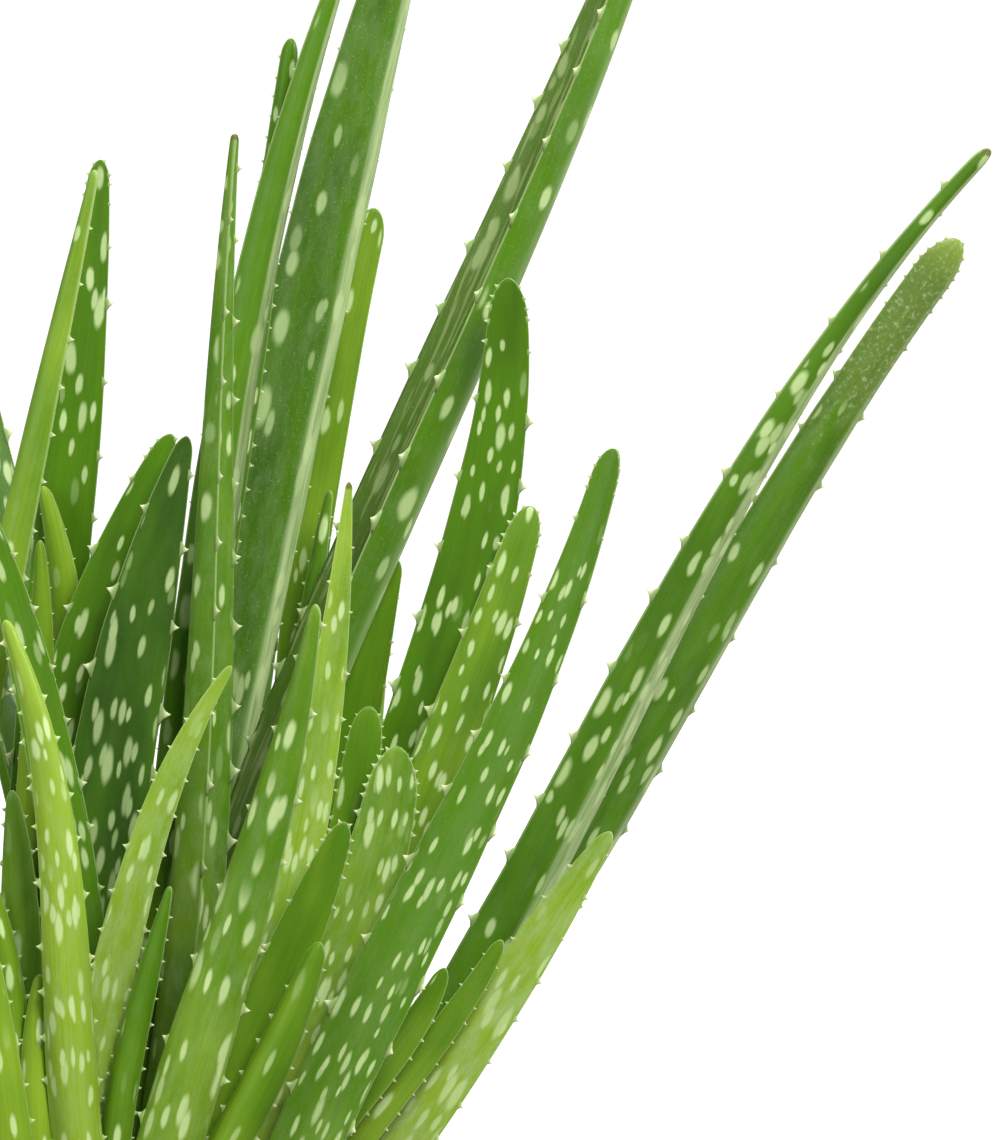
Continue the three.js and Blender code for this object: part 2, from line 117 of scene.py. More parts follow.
SEEN_LEAVES = {
    "front": [
        (9, 16, (21.5, 70, -49, 16.5), (40, 130, -55, 11), (51.5, 181.5, -58, 3), 15, 20, 0.1),
        (12, 10, (30, 47.5, -44, 10.5), (43.8, 75, -47, 9), (52.5, 97, -49, 4), 10, 10, 0.1),
        (10, 13, (-9, 60, -48, 12.8), (-13, 122, -54, 10), (-26.3, 177.5, -57, 2.6), -10, -15, 0.12),
        (15, 12, (33.8, 70, -37, 12.5), (48, 101, -39, 11.5), (58.8, 127, -40, 5), 175, 175, 0.1),
        (20, 11, (36, 80, -29, 13), (52, 145, -27, 10), (59.8, 212, -25, 1.6), 172, 172, 0.12),
    ],
    "right_front": [
        (8, 15, (65, 77.5, -38, 19), (98.3, 144.6, -41, 14.6), (126.2, 220.4, -43, 7), 205, 212, 0.18),
        (14, 13, (53, 82, -27, 16), (66.5, 118, -26.5, 15.5), (71.8, 146, -26, 10), 175, 185, 0.08),
        (20, 12, (59.5, 85, -14, 16.5), (85.2, 148, -10, 14.6), (105.5, 206, -8, 7.5), 180, 190, 0.08),
    ],
    "right": [
        (12, 12, (75.5, 50, -19, 12.5), (99, 85, -20, 11.8), (125.3, 124.5, -21, 3.5), 180, 190, 0.1),
        (16, 16, (102.5, 106, -10, 20), (155.5, 206.5, -12, 12), (220, 295.2, -14, 4), 312, 320, 0.1),
        (20, 15, (100.9, 94, 8, 20), (158.6, 190.3, 8, 14.1), (212.5, 272.5, 7, 11), 318, 345, 0.1),
    ],
    "mother": [
        (16, 18, (20.5, 118, -12, 20.5), (26.3, 228, -16, 10.5), (31.5, 299, -16, 2), 106, 104, 0.3),
        (14, 20, (42.5, 137, 12, 24.5), (93.5, 254.5, 14, 23.5), (141.5, 374.5, 15, 8.6), -105, -105, 0.3),
        (21, 12, (16, 115, 0, 14), (33.3, 245, 2, 11.5), (60.5, 347.5, 4, 3.5), 335, 340, 0.15),
        (24, 18, (26, 140, 31, 20), (50.2, 257.5, 34, 20.6), (80.3, 372.5, 35, 6.8), 338, 342, 0.08),
        (12, 13, (-5, 80, -21, 13), (-15, 143, -27, 12), (-35, 215, -30, 2), 175, 170, 0.1),
    ],
    "right_back": [
        (16, 13, (57.5, 95, 3, 17), (88.1, 183.2, -2, 17.8), (99.6, 263, -9, 8), 180, 190, 0.08),
        (20, 10, (51, 95, 17, 11.5), (63, 160, 17, 11), (72, 192.5, 16, 3), 180, 180, 0.1),
        (24, 9, (42, 120, 39, 9), (53, 215, 42, 10), (66.3, 280.5, 42, 7.5), 180, 185, 0.08),
    ],
    "left": [
        (9, 17, (-8, 90, -13, 21), (2.5, 153, -14, 20), (19.3, 223.5, -15, 3.5), 172, 178, 0.1),
        (13, 15, (-19, 90, -5, 18), (-6, 167, -5, 17), (15.5, 224, -5, 4.5), 175, 180, 0.1),
        (22, 13, (-20, 110, 8, 13.5), (-10.3, 212, 9, 14.6), (-2.3, 292.6, 9, 4.5), 185, 190, 0.08),
    ],
    "left_front": [
        (10, 10, (-4, 68, -38, 11), (13, 132, -41, 8), (30.3, 166, -43, 1.8), 180, 190, 0.1),
    ],
    "far_left": [
        (18, 12, (-40, 110, -13, 13), (-23, 205, -12, 10.5), (-3.5, 290, -11, 2.4), 40, 60, 0.2),
    ],
}

# Leaves of the back that the front ones hide, in rows of the same kind.
BACK_LEAVES = {
    "mother": [
        (14, 16, (26, 120, 48, 18), (38, 200, 70, 15), (52, 262, 88, 4), 0, 0, 0.12),
        (11, 15, (2, 90, 38, 16), (4, 145, 60, 14), (10, 190, 78, 3.5), 0, 0, 0.12),
    ],
    "right_back": [
        (12, 13, (66, 90, 42, 15), (80, 150, 62, 13), (92, 200, 78, 4), 10, 10, 0.12),
        (9, 13, (52, 75, 48, 15), (60, 130, 72, 13), (69, 185, 92, 4), 5, 5, 0.12),
    ],
    "right": [
        (10, 12, (88, 76, 20, 13), (113, 118, 34, 11.5), (133, 156, 44, 3), 30, 30, 0.12),
    ],
    "left": [
        (12, 14, (-40, 105, 28, 15), (-52, 175, 46, 13), (-58, 236, 62, 3.5), -40, -40, 0.12),
    ],
}

# Leaves of the left side and low ones at the front. Each row: the way it leans (0 right, 90 back),
# how far it leans from upright, its length and width, and its foot's height above the soil.
SIDE_LEAVES = {
    "mother": [(120, 25, 345, 19, 18), (154, 18, 335, 19, 23)],
    "left": [(143, 36, 270, 16, 8), (174, 27, 320, 18, 16)],
    "far_left": [
        (142, 36, 250, 16, 8), (176, 45, 260, 16, 7), (208, 38, 235, 15, 10), (160, 22, 250, 14, 16),
    ],
    "left_front": [(196, 34, 215, 14, 7), (228, 28, 180, 13, 12), (252, 60, 105, 12, 8)],
    "front": [(262, 64, 100, 13, 7)],
    "right_front": [(303, 66, 96, 13, 7)],
}

# Young offsets. Each row: centre across and back, radius at the soil, number of leaves,
# length of the longest leaf, width, the way the first leaf leans.
OFFSETS = {
    "offset_back": (-10, 50, 5, 4, 80, 10, 60),
    "offset_back_right": (20, 49, 5, 4, 72, 9, 100),
    "offset_back_left": (-33, 37, 5, 4, 76, 10, 120),
}

# What each leaf looks like: how yellow its green is, how many spots, how much pale bloom, how far
# its tip has dried in millimetres, how large its teeth are, how strong the painted highlight is on
# the flank of its lower face that looks right towards the light, how large its spots are, and how
# bronzed and streaked its upper face is.
# Leaves that aren't named here get a seeded mixture.
LOOKS = {
    "leaf_front_1": (0.58, 1.25, 0.3, 0, 1.0, 0.0, 1.25, 0.0),
    "leaf_front_2": (0.55, 0.3, 0.0, 0, 1.0, 0.0, 1.0, 0.0),
    "leaf_front_3": (0.95, 0.95, 0.35, 0, 1.0, 0.0, 0.85, 0.0),
    "leaf_front_4": (0.55, 0.2, 0.0, 0, 1.0, 0.0, 1.0, 0.0),
    "leaf_front_5": (0.82, 0.8, 0.7, 2, 0.8, 0.0, 0.95, 0.0),
    "leaf_right_front_1": (0.45, 0.75, 0.25, 0, 1.0, 0.0, 0.8, 0.0),
    "leaf_right_front_2": (0.66, 1.1, 0.4, 0, 1.1, 0.0, 0.85, 0.0),
    "leaf_right_front_3": (0.66, 1.1, 0.15, 0, 1.0, 0.0, 0.9, 0.0),
    "leaf_right_1": (0.86, 1.1, 0.95, 0, 0.8, 0.0, 1.05, 0.0),
    "leaf_right_2": (0.32, 0.75, 0.2, 2, 1.0, 1.25, 1.05, 0.0),
    "leaf_right_3": (0.34, 0.6, 0.4, 62, 0.9, 0.85, 1.2, 0.5),
    "leaf_mother_1": (0.58, 0.45, 0.5, 2, 1.0, 0.0, 1.1, 0.0),
    "leaf_mother_2": (0.4, 0.5, 0.5, 0, 1.0, 0.78, 1.3, 0.65),
    "leaf_mother_3": (0.5, 0.45, 0.25, 0, 0.4, 1.2, 1.3, 0.0),
    "leaf_mother_4": (0.28, 0.4, 0.8, 0, 0.4, 1.0, 1.4, 0.1),
    "leaf_mother_5": (0.4, 0.5, 0.2, 0, 1.0, 0.0, 1.0, 0.0),
    "leaf_right_back_1": (0.36, 0.8, 0.0, 0, 1.0, 0.0, 0.9, 0.0),
    "leaf_right_back_2": (0.6, 0.05, 0.0, 0, 0.6, 0.0, 1.0, 0.0),
    "leaf_right_back_3": (0.7, 0.2, 0.1, 0, 0.3, 0.0, 1.0, 0.0),
    "leaf_left_1": (0.15, 0.75, 0.15, 0, 1.0, 0.0, 1.1, 0.0),
    "leaf_left_2": (0.38, 0.7, 0.0, 0, 1.0, 0.0, 1.0, 0.0),
    "leaf_left_3": (0.38, 0.85, 0.0, 0, 1.0, 0.0, 1.2, 0.0),
    "leaf_left_front_1": (0.82, 0.8, 0.75, 0, 0.9, 0.0, 0.9, 0.0),
    "leaf_far_left_1": (0.7, 0.3, 0.3, 0, 1.0, 0.0, 1.0, 0.0),
    "heart_right_front": (0.6, 0.2, 0.0, 0, 0.8, 0.0, 1.0, 0.0),
    "heart_right": (0.6, 0.2, 0.1, 0, 0.8, 0.0, 1.0, 0.0),
    "heart_left": (0.8, 0.1, 0.0, 0, 0.6, 0.0, 1.0, 0.0),
    "heart_front_left": (0.7, 0.9, 0.0, 0, 1.0, 0.0, 1.0, 0.0),
}
OFFSET_LOOK = (0.7, 0.8, 0.0, 0, 1.0, 0.0, 0.8, 0.0)


# ---- leaf shapes ----
FOOT_REACH = 0.5  # how far out on its stem a leaf's foot lies at the soil, as a share of the radius
ROUNDED_TIP = 1.1  # length of the rounded end of a leaf, in widths of its tip
FRAME_STEP = 0.01  # share of the length over which a leaf's direction is taken
LEAN_GROWTH = (0.75, 1, 1.3)  # the lean of a side leaf's lower, middle and upper third
FURTHEST_LEAN = 78
SIDE_WIDTHS = (0.8, 1, 0.75)  # of a side leaf's foot and the ends of its lower thirds
SIDE_TIP = 3  # width of its tip
SIDE_CHANNEL = 0.12


def seen(across, above, back):
    """The place of a point given by where it is seen from the front and how far back it lies."""
    side = across - VIEW_CENTRE[0]
    up = above - VIEW_CENTRE[1]
    sin, cos = math.sin(EYE_RISE), math.cos(EYE_RISE)
    rise = up * (EYE_DISTANCE + back * cos) - EYE_DISTANCE * back * sin
    rise /= EYE_DISTANCE * cos + up * sin
    depth = EYE_DISTANCE + back * cos - rise * sin
    x = VIEW_CENTRE[0] + side * depth / EYE_DISTANCE
    return np.array([x, back, SOIL_TOP + VIEW_CENTRE[1] + rise])


def foot_on(stem, rise, towards):
    """The foot of a leaf, on its stem's flank on the side that the leaf goes to."""
    x, y, radius, height = stem
    way = math.atan2(towards[1] - y, towards[0] - x)
    reach = radius * FOOT_REACH * (1 - rise / height)
    return np.array([x + reach * math.cos(way), y + reach * math.sin(way), SOIL_TOP + rise])


def unit(vectors):
    return vectors / np.linalg.norm(vectors, axis=-1, keepdims=True)


class Blade:
    """A leaf's middle line and width, through four points at their shares of the length."""

    def __init__(self, points, widths, faces, channel):
        self.points = np.array(points, float)
        self.widths = np.array(widths, float)
        steps = np.linalg.norm(np.diff(self.points, axis=0), axis=1)
        self.length = steps.sum()
        self.shares = np.concatenate(([0], np.cumsum(steps) / self.length))
        self.faces = np.radians(faces)
        self.channel = channel
        self.tip_start = 1 - ROUNDED_TIP * self.widths[3] / self.length

    def weights(self, t):
        """How much each of the four points counts at t, on the cubic curve through them all."""
        rows = []
        for i, own in enumerate(self.shares):
            others = np.delete(self.shares, i)
            rows.append(np.prod((t[:, None] - others) / (own - others), axis=1))
        return np.array(rows).T

    def place(self, t):
        return self.weights(t) @ self.points

    def width_at(self, t):
        in_tip = np.clip((t - self.tip_start) / (1 - self.tip_start), 0, 1)
        return self.weights(t) @ self.widths * np.sqrt(1 - in_tip**2)

    def frame(self, t):
        """Along the leaf, out of its upper face, and across it."""
        ahead = np.minimum(t + FRAME_STEP, 1)
        along = unit(self.place(ahead) - self.place(ahead - 2 * FRAME_STEP))
        turn = self.faces[0] + (self.faces[1] - self.faces[0]) * t
        out = np.stack([np.sin(turn), np.cos(turn), np.zeros_like(turn)], axis=1)
        out = unit(out - np.sum(out * along, axis=1, keepdims=True) * along)
        return along, out, np.cross(out, along)


def seen_blade(stem, row):
    rise, foot_width, low, mid, tip, face_start, face_end, channel = row
    upper = [seen(*point[:3]) for point in (low, mid, tip)]
    points = [foot_on(stem, rise, upper[0]), *upper]
    return Blade(points, [foot_width, low[3], mid[3], tip[3]], (face_start, face_end), channel)


def leaning_blade(stem, row):
    """A blade that leans away from its stem, a little more with height, upper face turned in."""
    way, lean, length, width, rise = row
    out = np.array([math.cos(math.radians(way)), math.sin(math.radians(way)), 0])
    points = [foot_on(stem, rise, np.array([stem[0], stem[1], 0]) + out)]
    for growth in LEAN_GROWTH:
        slope = math.radians(min(lean * growth, FURTHEST_LEAN))
        step = math.sin(slope) * out + math.cos(slope) * np.array([0, 0, 1])
        points.append(points[-1] + step * length / 3)
    face = math.degrees(math.atan2(-out[0], -out[1]))
    widths = [width * share for share in SIDE_WIDTHS]
    return Blade(points, [*widths, SIDE_TIP], (face, face), SIDE_CHANNEL)


# ---- meshes ----
class Shell:
    """Collects the points and faces of a piece, with the leaf coordinates that its finish reads."""

    def __init__(self):
        self.points = []
        self.faces = []
        self.slots = []
        self.coordinates = {"place": [], "size": [], "look": [], "wear": [], "flank": []}
        self.count = 0

    def add(self, points, faces, slot=0, **coordinates):
        points = np.asarray(points, float)
        self.points.append(points)
        self.faces += [[index + self.count for index in face] for face in faces]
        self.slots += [slot] * len(faces)
        for name, rows in self.coordinates.items():
            rows.append(np.broadcast_to(coordinates.get(name, (0, 0, 0)), (len(points), 3)))
        self.count += len(points)

    def make(self, name, materials, smooth=True):
        mesh = bpy.data.meshes.new(name)
        mesh.from_pydata(np.concatenate(self.points) * MM, [], self.faces)
        for key, rows in self.coordinates.items():
            layer = mesh.attributes.new(key, "FLOAT_VECTOR", "POINT")
            layer.data.foreach_set("vector", np.concatenate(rows).astype(np.float32).ravel())
        for material in materials:
            mesh.materials.append(material)
        mesh.polygons.foreach_set("material_index", self.slots)
        mesh.polygons.foreach_set("use_smooth", [smooth] * len(self.faces))
        mesh.update()
        piece = bpy.data.objects.new(name, mesh)
        bpy.context.collection.objects.link(piece)
        return piece


RING_STEP = 2.6  # between the rings of a leaf
FEWEST_RINGS = 6
NOSE_RINGS = 5  # of the rounded end
UPPER_POINTS = 11  # of a ring's upper face, margins included
LOWER_POINTS = 13  # between the margins
MARGIN_ROUND = 0.35  # how thick the rounded margins are
FULLNESS = 3  # of the section: 2 is a lens, more is squarer
UPPER_SHARE = 0.2  # of the thickness that lies above the margins; the rest is the rounded back
RIPPLE = 0.02  # how much a leaf's half width changes along it, as a share of the width
RIPPLE_LENGTH = 26
SEED_RANGE = 97  # of the seeds that the finishes get


def thickness(width):
    """How thick a leaf is where it is this wide."""
    return np.minimum(0.8 + 0.24 * width, 0.8 * width)


def ring_section():
    """A ring's points: share of the half width, and +1 on the upper face or -1 on the lower."""
    upper = -np.cos(np.linspace(0, math.pi, UPPER_POINTS))
    lower = np.cos(np.linspace(0, math.pi, LOWER_POINTS + 2))[1:-1]
    side = np.concatenate([np.ones(UPPER_POINTS), -np.ones(LOWER_POINTS)])
    return np.concatenate([upper, lower]), side


def rightness(rings, along):
    """How far the surface of a blade's rings of points looks to the right of the blade, towards the light;
    the leaf finish paints a highlight there.
    """
    round_it = np.roll(rings, -1, axis=1) - np.roll(rings, 1, axis=1)
    outwards = unit(np.cross(np.gradient(rings, axis=0), round_it))
    right = unit(np.cross((0, 1, 0), along))
    return np.clip(np.sum(outwards * right[:, None], axis=-1), 0, 1)


def add_blade(shell, blade, look, seed):
    """A closed blade with a rounded lower face, a tapered tip, and a row of teeth on each margin."""
    share, side = ring_section()
    size = len(share)
    rings = max(FEWEST_RINGS, round(blade.length * blade.tip_start / RING_STEP))
    body = np.linspace(0, blade.tip_start, rings)
    quarter_turn = np.linspace(0, math.pi / 2, NOSE_RINGS + 2)[1:-1]
    t = np.concatenate([body, blade.tip_start + (1 - blade.tip_start) * np.sin(quarter_turn)])
    middle = blade.place(t)
    ahead, out, across = blade.frame(t)
    width = blade.width_at(t)
    ripple = [noise.noise((seed * 7.3, value * blade.length / RIPPLE_LENGTH, 0)) for value in t]
    half = width * (0.5 + RIPPLE * np.array(ripple))
    depth = thickness(width)[:, None] * (1 - np.abs(share) ** FULLNESS)
    depth = depth + MARGIN_ROUND * np.sqrt(1 - share**2)
    rise = blade.channel * width[:, None] * share**2
    rise = rise + depth * np.where(side > 0, UPPER_SHARE, UPPER_SHARE - 1)
    points = middle[:, None] + across[:, None] * (half[:, None] * share)[..., None]
    points = (points + out[:, None] * rise[..., None]).reshape(-1, 3)

    along = t * blade.length
    place = np.stack(np.broadcast_arrays(half[:, None] * share, along[:, None], side), axis=-1)
    edge = half[:, None] * (1 - np.abs(share))
    to_tip = np.broadcast_to((blade.length - along)[:, None], edge.shape)
    sizes = np.stack([edge, to_tip, np.zeros_like(edge)], axis=-1)
    tone, spots, bloom, dried, tooth_size, flank, spot_size, bronze = look
    base = {"look": (tone, spots, bloom)}
    # painted highlight: the share of the lower face that looks right, towards the light, which the finish
    # paints pale
    highlight_share = flank * np.where(side < 0, rightness(points.reshape(len(t), size, 3), ahead), 0)

    faces = []
    for ring in range(len(t) - 1):
        for i in range(size):
            a, b = ring * size + i, ring * size + (i + 1) % size
            faces.append((a, b, b + size, a + size))
    last = (len(t) - 1) * size
    apex = len(t) * size
    faces.append(tuple(range(size))[::-1])
    faces += [(last + i, last + (i + 1) % size, apex) for i in range(size)]
    points = np.concatenate([points, blade.place(np.array([1.0]))])
    place = np.concatenate([place.reshape(-1, 3), [(0, blade.length, 1)]])
    sizes = np.concatenate([sizes.reshape(-1, 3), [(0, 0, 0)]])
    # per point: the share of painted highlight, then the spot size and the bronze
    flanks = np.tile((0, spot_size, bronze), (len(points), 1)).astype(float)
    flanks[:-1, 0] = highlight_share.ravel()
    wear = (seed % SEED_RANGE, dried, 0)
    shell.add(points, faces, place=place, size=sizes, wear=wear, flank=flanks, **base)

    add_teeth(shell, blade, tooth_size, base, seed, dried)


TOOTH_SIDES = 8
# A tooth's rings: share of its height, then half its length along the margin and half its
# thickness as shares of its height, so that its sides curve in from a broad root.
TOOTH_SHAPE = ((0, 1.35, 0.24), (0.22, 0.8, 0.2), (0.45, 0.4, 0.15), (0.74, 0.17, 0.09))
TOOTH_SINK = 0.5  # of its root in the margin
RING_LEAN, POINT_LEAN = 0.15, 0.2  # how far they lean along the margin, as shares of the height
HIGHEST_TOOTH = 2.5
WIDEST_SPACING, CLOSEST_SPACING = 19, 5.5
FIRST_TOOTH = 12  # from the leaf's foot
TIP_TOOTH = 1.0  # height of the small teeth round a blunt tip
TIP_SPACING = 2.8
CLOSER_FROM = 26  # how far from its end the teeth of a blunt leaf begin to close up
BLUNT = 4.5  # width of a tip that has them
TIP_MARGIN = 3  # how far below its rounded end a leaf's tip begins, for the teeth
BARE_END, BARE_POINT = 0.4, 5  # how much of a blunt and of a pointed tip has no teeth


def margin_point(blade, distance, hand):
    t = np.clip(np.array([distance]) / blade.length, 0, 1)
    _, out, across = (vector[0] for vector in blade.frame(t))
    width = blade.width_at(t)[0]
    return blade.place(t)[0] + across * hand * width / 2 + out * blade.channel * width


def add_teeth(shell, blade, tooth_size, base, seed, dried):
    """A row of teeth on each margin, smaller and closer on a narrow leaf and round a blunt tip."""
    random = np.random.default_rng(seed)
    widest = blade.widths.max()
    spacing = min(WIDEST_SPACING, max(CLOSEST_SPACING, 1.7 * widest - 9))
    highest = min(HIGHEST_TOOTH, 0.2 + 0.11 * widest)
    tip_zone = blade.length * blade.tip_start - TIP_MARGIN
    blunt = blade.widths[3] >= BLUNT
    closing = (tip_zone - (CLOSER_FROM if blunt else 1), tip_zone)
    end = blade.length - (BARE_END if blunt else BARE_POINT)
    for hand in (-1, 1):
        distance = FIRST_TOOTH + random.uniform(0, spacing)
        while distance < end:
            width = blade.width_at(np.array([distance / blade.length]))[0]
            high = highest * (0.6 + 0.4 * width / widest)
            if blunt:
                high = np.interp(distance, closing, (high, TIP_TOOTH))
            high *= tooth_size * random.uniform(0.8, 1.15)
            straight = add_tooth(shell, blade, distance, hand, high, base, seed, dried)
            gap = np.interp(distance, closing, (spacing, TIP_SPACING))
            if distance > tip_zone:
                gap *= max(0.25, straight)
            distance += gap * random.uniform(0.8, 1.25)


def add_tooth(shell, blade, distance, hand, high, base, seed, dried):
    """A small sharp spine that stands on a margin; gives how nearly that runs along the leaf."""
    t = np.array([distance / blade.length])
    along, out, across = (vector[0] for vector in blade.frame(t))
    sideways = unit(across * hand + out * 4 * blade.channel)
    root = margin_point(blade, distance, hand)
    run = unit(margin_point(blade, distance + 0.2, hand) - margin_point(blade, distance - 0.2, hand))
    face = unit(np.cross(along, sideways))
    point = unit(np.cross(face, run))
    turns = np.linspace(0, 2 * math.pi, TOOTH_SIDES, endpoint=False)
    points, heights = [], []
    for share, reach, deep in TOOTH_SHAPE:
        centre = root + point * ((high + TOOTH_SINK) * share - TOOTH_SINK)
        centre = centre + run * RING_LEAN * high * share
        ring = np.outer(np.cos(turns) * reach * high, run) + np.outer(np.sin(turns) * deep * high, face)
        points.append(centre + ring)
        heights += [share] * TOOTH_SIDES
    points.append([root + point * high + run * POINT_LEAN * high])
    heights.append(1)
    faces = [tuple(range(TOOTH_SIDES))]
    last = len(TOOTH_SHAPE) - 1
    for ring in range(last):
        for i in range(TOOTH_SIDES):
            a, b = ring * TOOTH_SIDES + i, ring * TOOTH_SIDES + (i + 1) % TOOTH_SIDES
            faces.append((a + TOOTH_SIDES, b + TOOTH_SIDES, b, a))
    apex = (last + 1) * TOOTH_SIDES
    faces += [(apex, last * TOOTH_SIDES + (i + 1) % TOOTH_SIDES, last * TOOTH_SIDES + i)
              for i in range(TOOTH_SIDES)]
    if np.dot(np.cross(run, face), point) > 0:
        faces = [face[::-1] for face in faces]
    wear = np.array([(seed % SEED_RANGE, dried, height) for height in heights])
    place = (hand * blade.width_at(t)[0] / 2, distance, 1)
    size = (0, blade.length - distance, 0)
    shell.add(np.concatenate(points), faces, place=place, size=size, wear=wear, **base)
    return abs(np.dot(run, along))


def add_turned(shell, profile, segments, centre=(0, 0, 0), slot=0, shape=None):
    """A solid turned round the Z axis; the profile (radius, z) starts and ends on the axis."""
    turns = np.linspace(0, 2 * math.pi, segments, endpoint=False)
    rows = [np.stack([r * np.cos(turns), r * np.sin(turns), np.full(segments, z)], axis=1)
            for r, z in profile[1:-1]]
    points = np.concatenate([[(0, 0, profile[0][1])], *rows, [(0, 0, profile[-1][1])]])
    if shape:
        points = shape(points)
    faces = []
    for i in range(segments):
        j = (i + 1) % segments
        faces.append((0, 1 + j, 1 + i))
        for ring in range(len(rows) - 1):
            low = 1 + ring * segments
            faces.append((low + i, low + j, low + segments + j, low + segments + i))
        top = 1 + (len(rows) - 1) * segments
        faces.append((top + i, top + j, len(points) - 1))
    shell.add(points + np.array(centre, float), faces, slot=slot)


STEM_STEPS = 14
STEM_SCAR = 0.35  # depth of every second ring
STEM_HEIGHTS = (0, 0.06, 0.5, 0.95, 1)  # shares of the height where the stem has these widths
STEM_WIDTHS = (1, 1, 0.7, 0.25, 0.12)  # as shares of its radius at the soil


def add_stem(shell, stem):
    """A short stem, ringed by the scars of old leaves."""
    x, y, radius, height = stem
    profile = [(0, -STEM_DEPTH), (radius * 0.8, -STEM_DEPTH)]
    for i in range(STEM_STEPS + 1):
        share = i / STEM_STEPS
        scar = STEM_SCAR * (i % 2)
        wide = np.interp(share, STEM_HEIGHTS, STEM_WIDTHS)
        profile.append((radius * wide + scar * (1 - share), 2 + (height - 2) * share - scar))
    add_turned(shell, [*profile, (0, height)], 24, (x, y, SOIL_TOP), slot=1)


# ---- finishes ----
def linear(code):
    """A colour written as six hex digits, as linear light."""
    values = [int(code[i:i + 2], 16) / 255 for i in (0, 2, 4)]
    return [v / 12.92 if v <= 0.04045 else ((v + 0.055) / 1.055) ** 2.4 for v in values] + [1]


class Finish:
    """A procedural material with short calls for its nodes."""

    def __init__(self, name, roughness):
        self.material = bpy.data.materials.new(name)
        self.material.use_nodes = True
        self.nodes = self.material.node_tree.nodes
        self.links = self.material.node_tree.links
        self.shader = self.nodes["Principled BSDF"]
        self.shader.inputs["Roughness"].default_value = roughness

    def node(self, kind, inputs, **settings):
        node = self.nodes.new(kind)
        for key, value in settings.items():
            setattr(node, key, value)
        for key, value in inputs.items():
            if isinstance(value, bpy.types.NodeSocket):
                self.links.new(value, node.inputs[key])
            elif value is not None:
                node.inputs[key].default_value = value
        return node

    def attribute(self, name):
        split = self.node("ShaderNodeSeparateXYZ", {
            0: self.node("ShaderNodeAttribute", {}, attribute_name=name).outputs["Vector"]})
        return split.outputs

    def where(self):
        """The place on the piece, in metres."""
        return self.node("ShaderNodeTexCoord", {}).outputs["Object"]

    def math(self, operation, a, b=None, c=None, clamp=False):
        inputs = {0: a, 1: b, 2: c}
        return self.node("ShaderNodeMath", inputs, operation=operation, use_clamp=clamp).outputs[0]

    def times(self, a, b):
        return self.math("MULTIPLY", a, b)

    def fade(self, value, start, end, low=0, high=1):
        """A smooth step from low to high as value goes from start to end."""
        node = self.node("ShaderNodeMapRange", {
            "Value": value, "From Min": start, "From Max": end, "To Min": low, "To Max": high,
        }, interpolation_type="SMOOTHSTEP")
        return node.outputs[0]

    def vector(self, x, y, z):
        return self.node("ShaderNodeCombineXYZ", {0: x, 1: y, 2: z}).outputs[0]

    def noise(self, vector, scale, detail=2, roughness=0.5):
        node = self.node("ShaderNodeTexNoise", {
            "Vector": vector, "Scale": scale, "Detail": detail, "Roughness": roughness})
        return node.outputs["Fac"]

    def mix(self, factor, a, b, mode="MIX"):
        node = self.node("ShaderNodeMix", {0: factor, 6: a, 7: b}, data_type="RGBA", blend_type=mode)
        return node.outputs[2]

    def bump(self, height, distance, strength=1, onto=None):
        node = self.node("ShaderNodeBump", {
            "Height": height, "Distance": distance * MM, "Strength": strength, "Normal": onto})
        return node.outputs[0]

    def finish(self, **sockets):
        """Sets or links the shader's sockets, named with _ for a space."""
        for key, value in sockets.items():
            name = key.replace("_", " ")
            if isinstance(value, bpy.types.NodeSocket):
                self.links.new(value, self.shader.inputs[name])
            else:
                self.shader.inputs[name].default_value = value
        return self.material


DARK_GREEN, GREEN, YELLOW_GREEN = linear("2e520c"), linear("55850e"), linear("97b930")
# the pale flank colour is a painted highlight, on the side of a leaf that looks to the light
LINE, SPOT, FLANK_HIGHLIGHT, MARGIN = linear("26460a"), linear("d8eea8"), linear("b3c68c"), linear("c4d993")
BRONZE, BRONZE_STREAK = linear("58682f"), linear("a3b273")
BLOOM_DARK, BLOOM_PALE, BLOOM_SPECK = linear("8c9f74"), linear("b7cd94"), linear("a9b892")
DRIED, WORN, WORN_END = linear("5e5020"), linear("7c9245"), linear("93a83c")
PALE_FLECK, BROWN_FLECK = linear("bcc49a"), linear("75613c")
TOOTH, TOOTH_POINT = linear("dfe6b4"), linear("a9885a")

# Layers of spots on a leaf: the width and length of a cell that holds one, and a shift.
SPOT_LAYERS = ((4.2, 20.0, 0.0), (3.7, 16.0, 5.7), (5.0, 23.0, 9.3))
SPOT_SMALLEST, SPOT_RANGE = 0.16, 0.11  # of their radii, in cells
SCUFFED = (9, 20)  # between these lengths a dried tip turns into one that is only worn


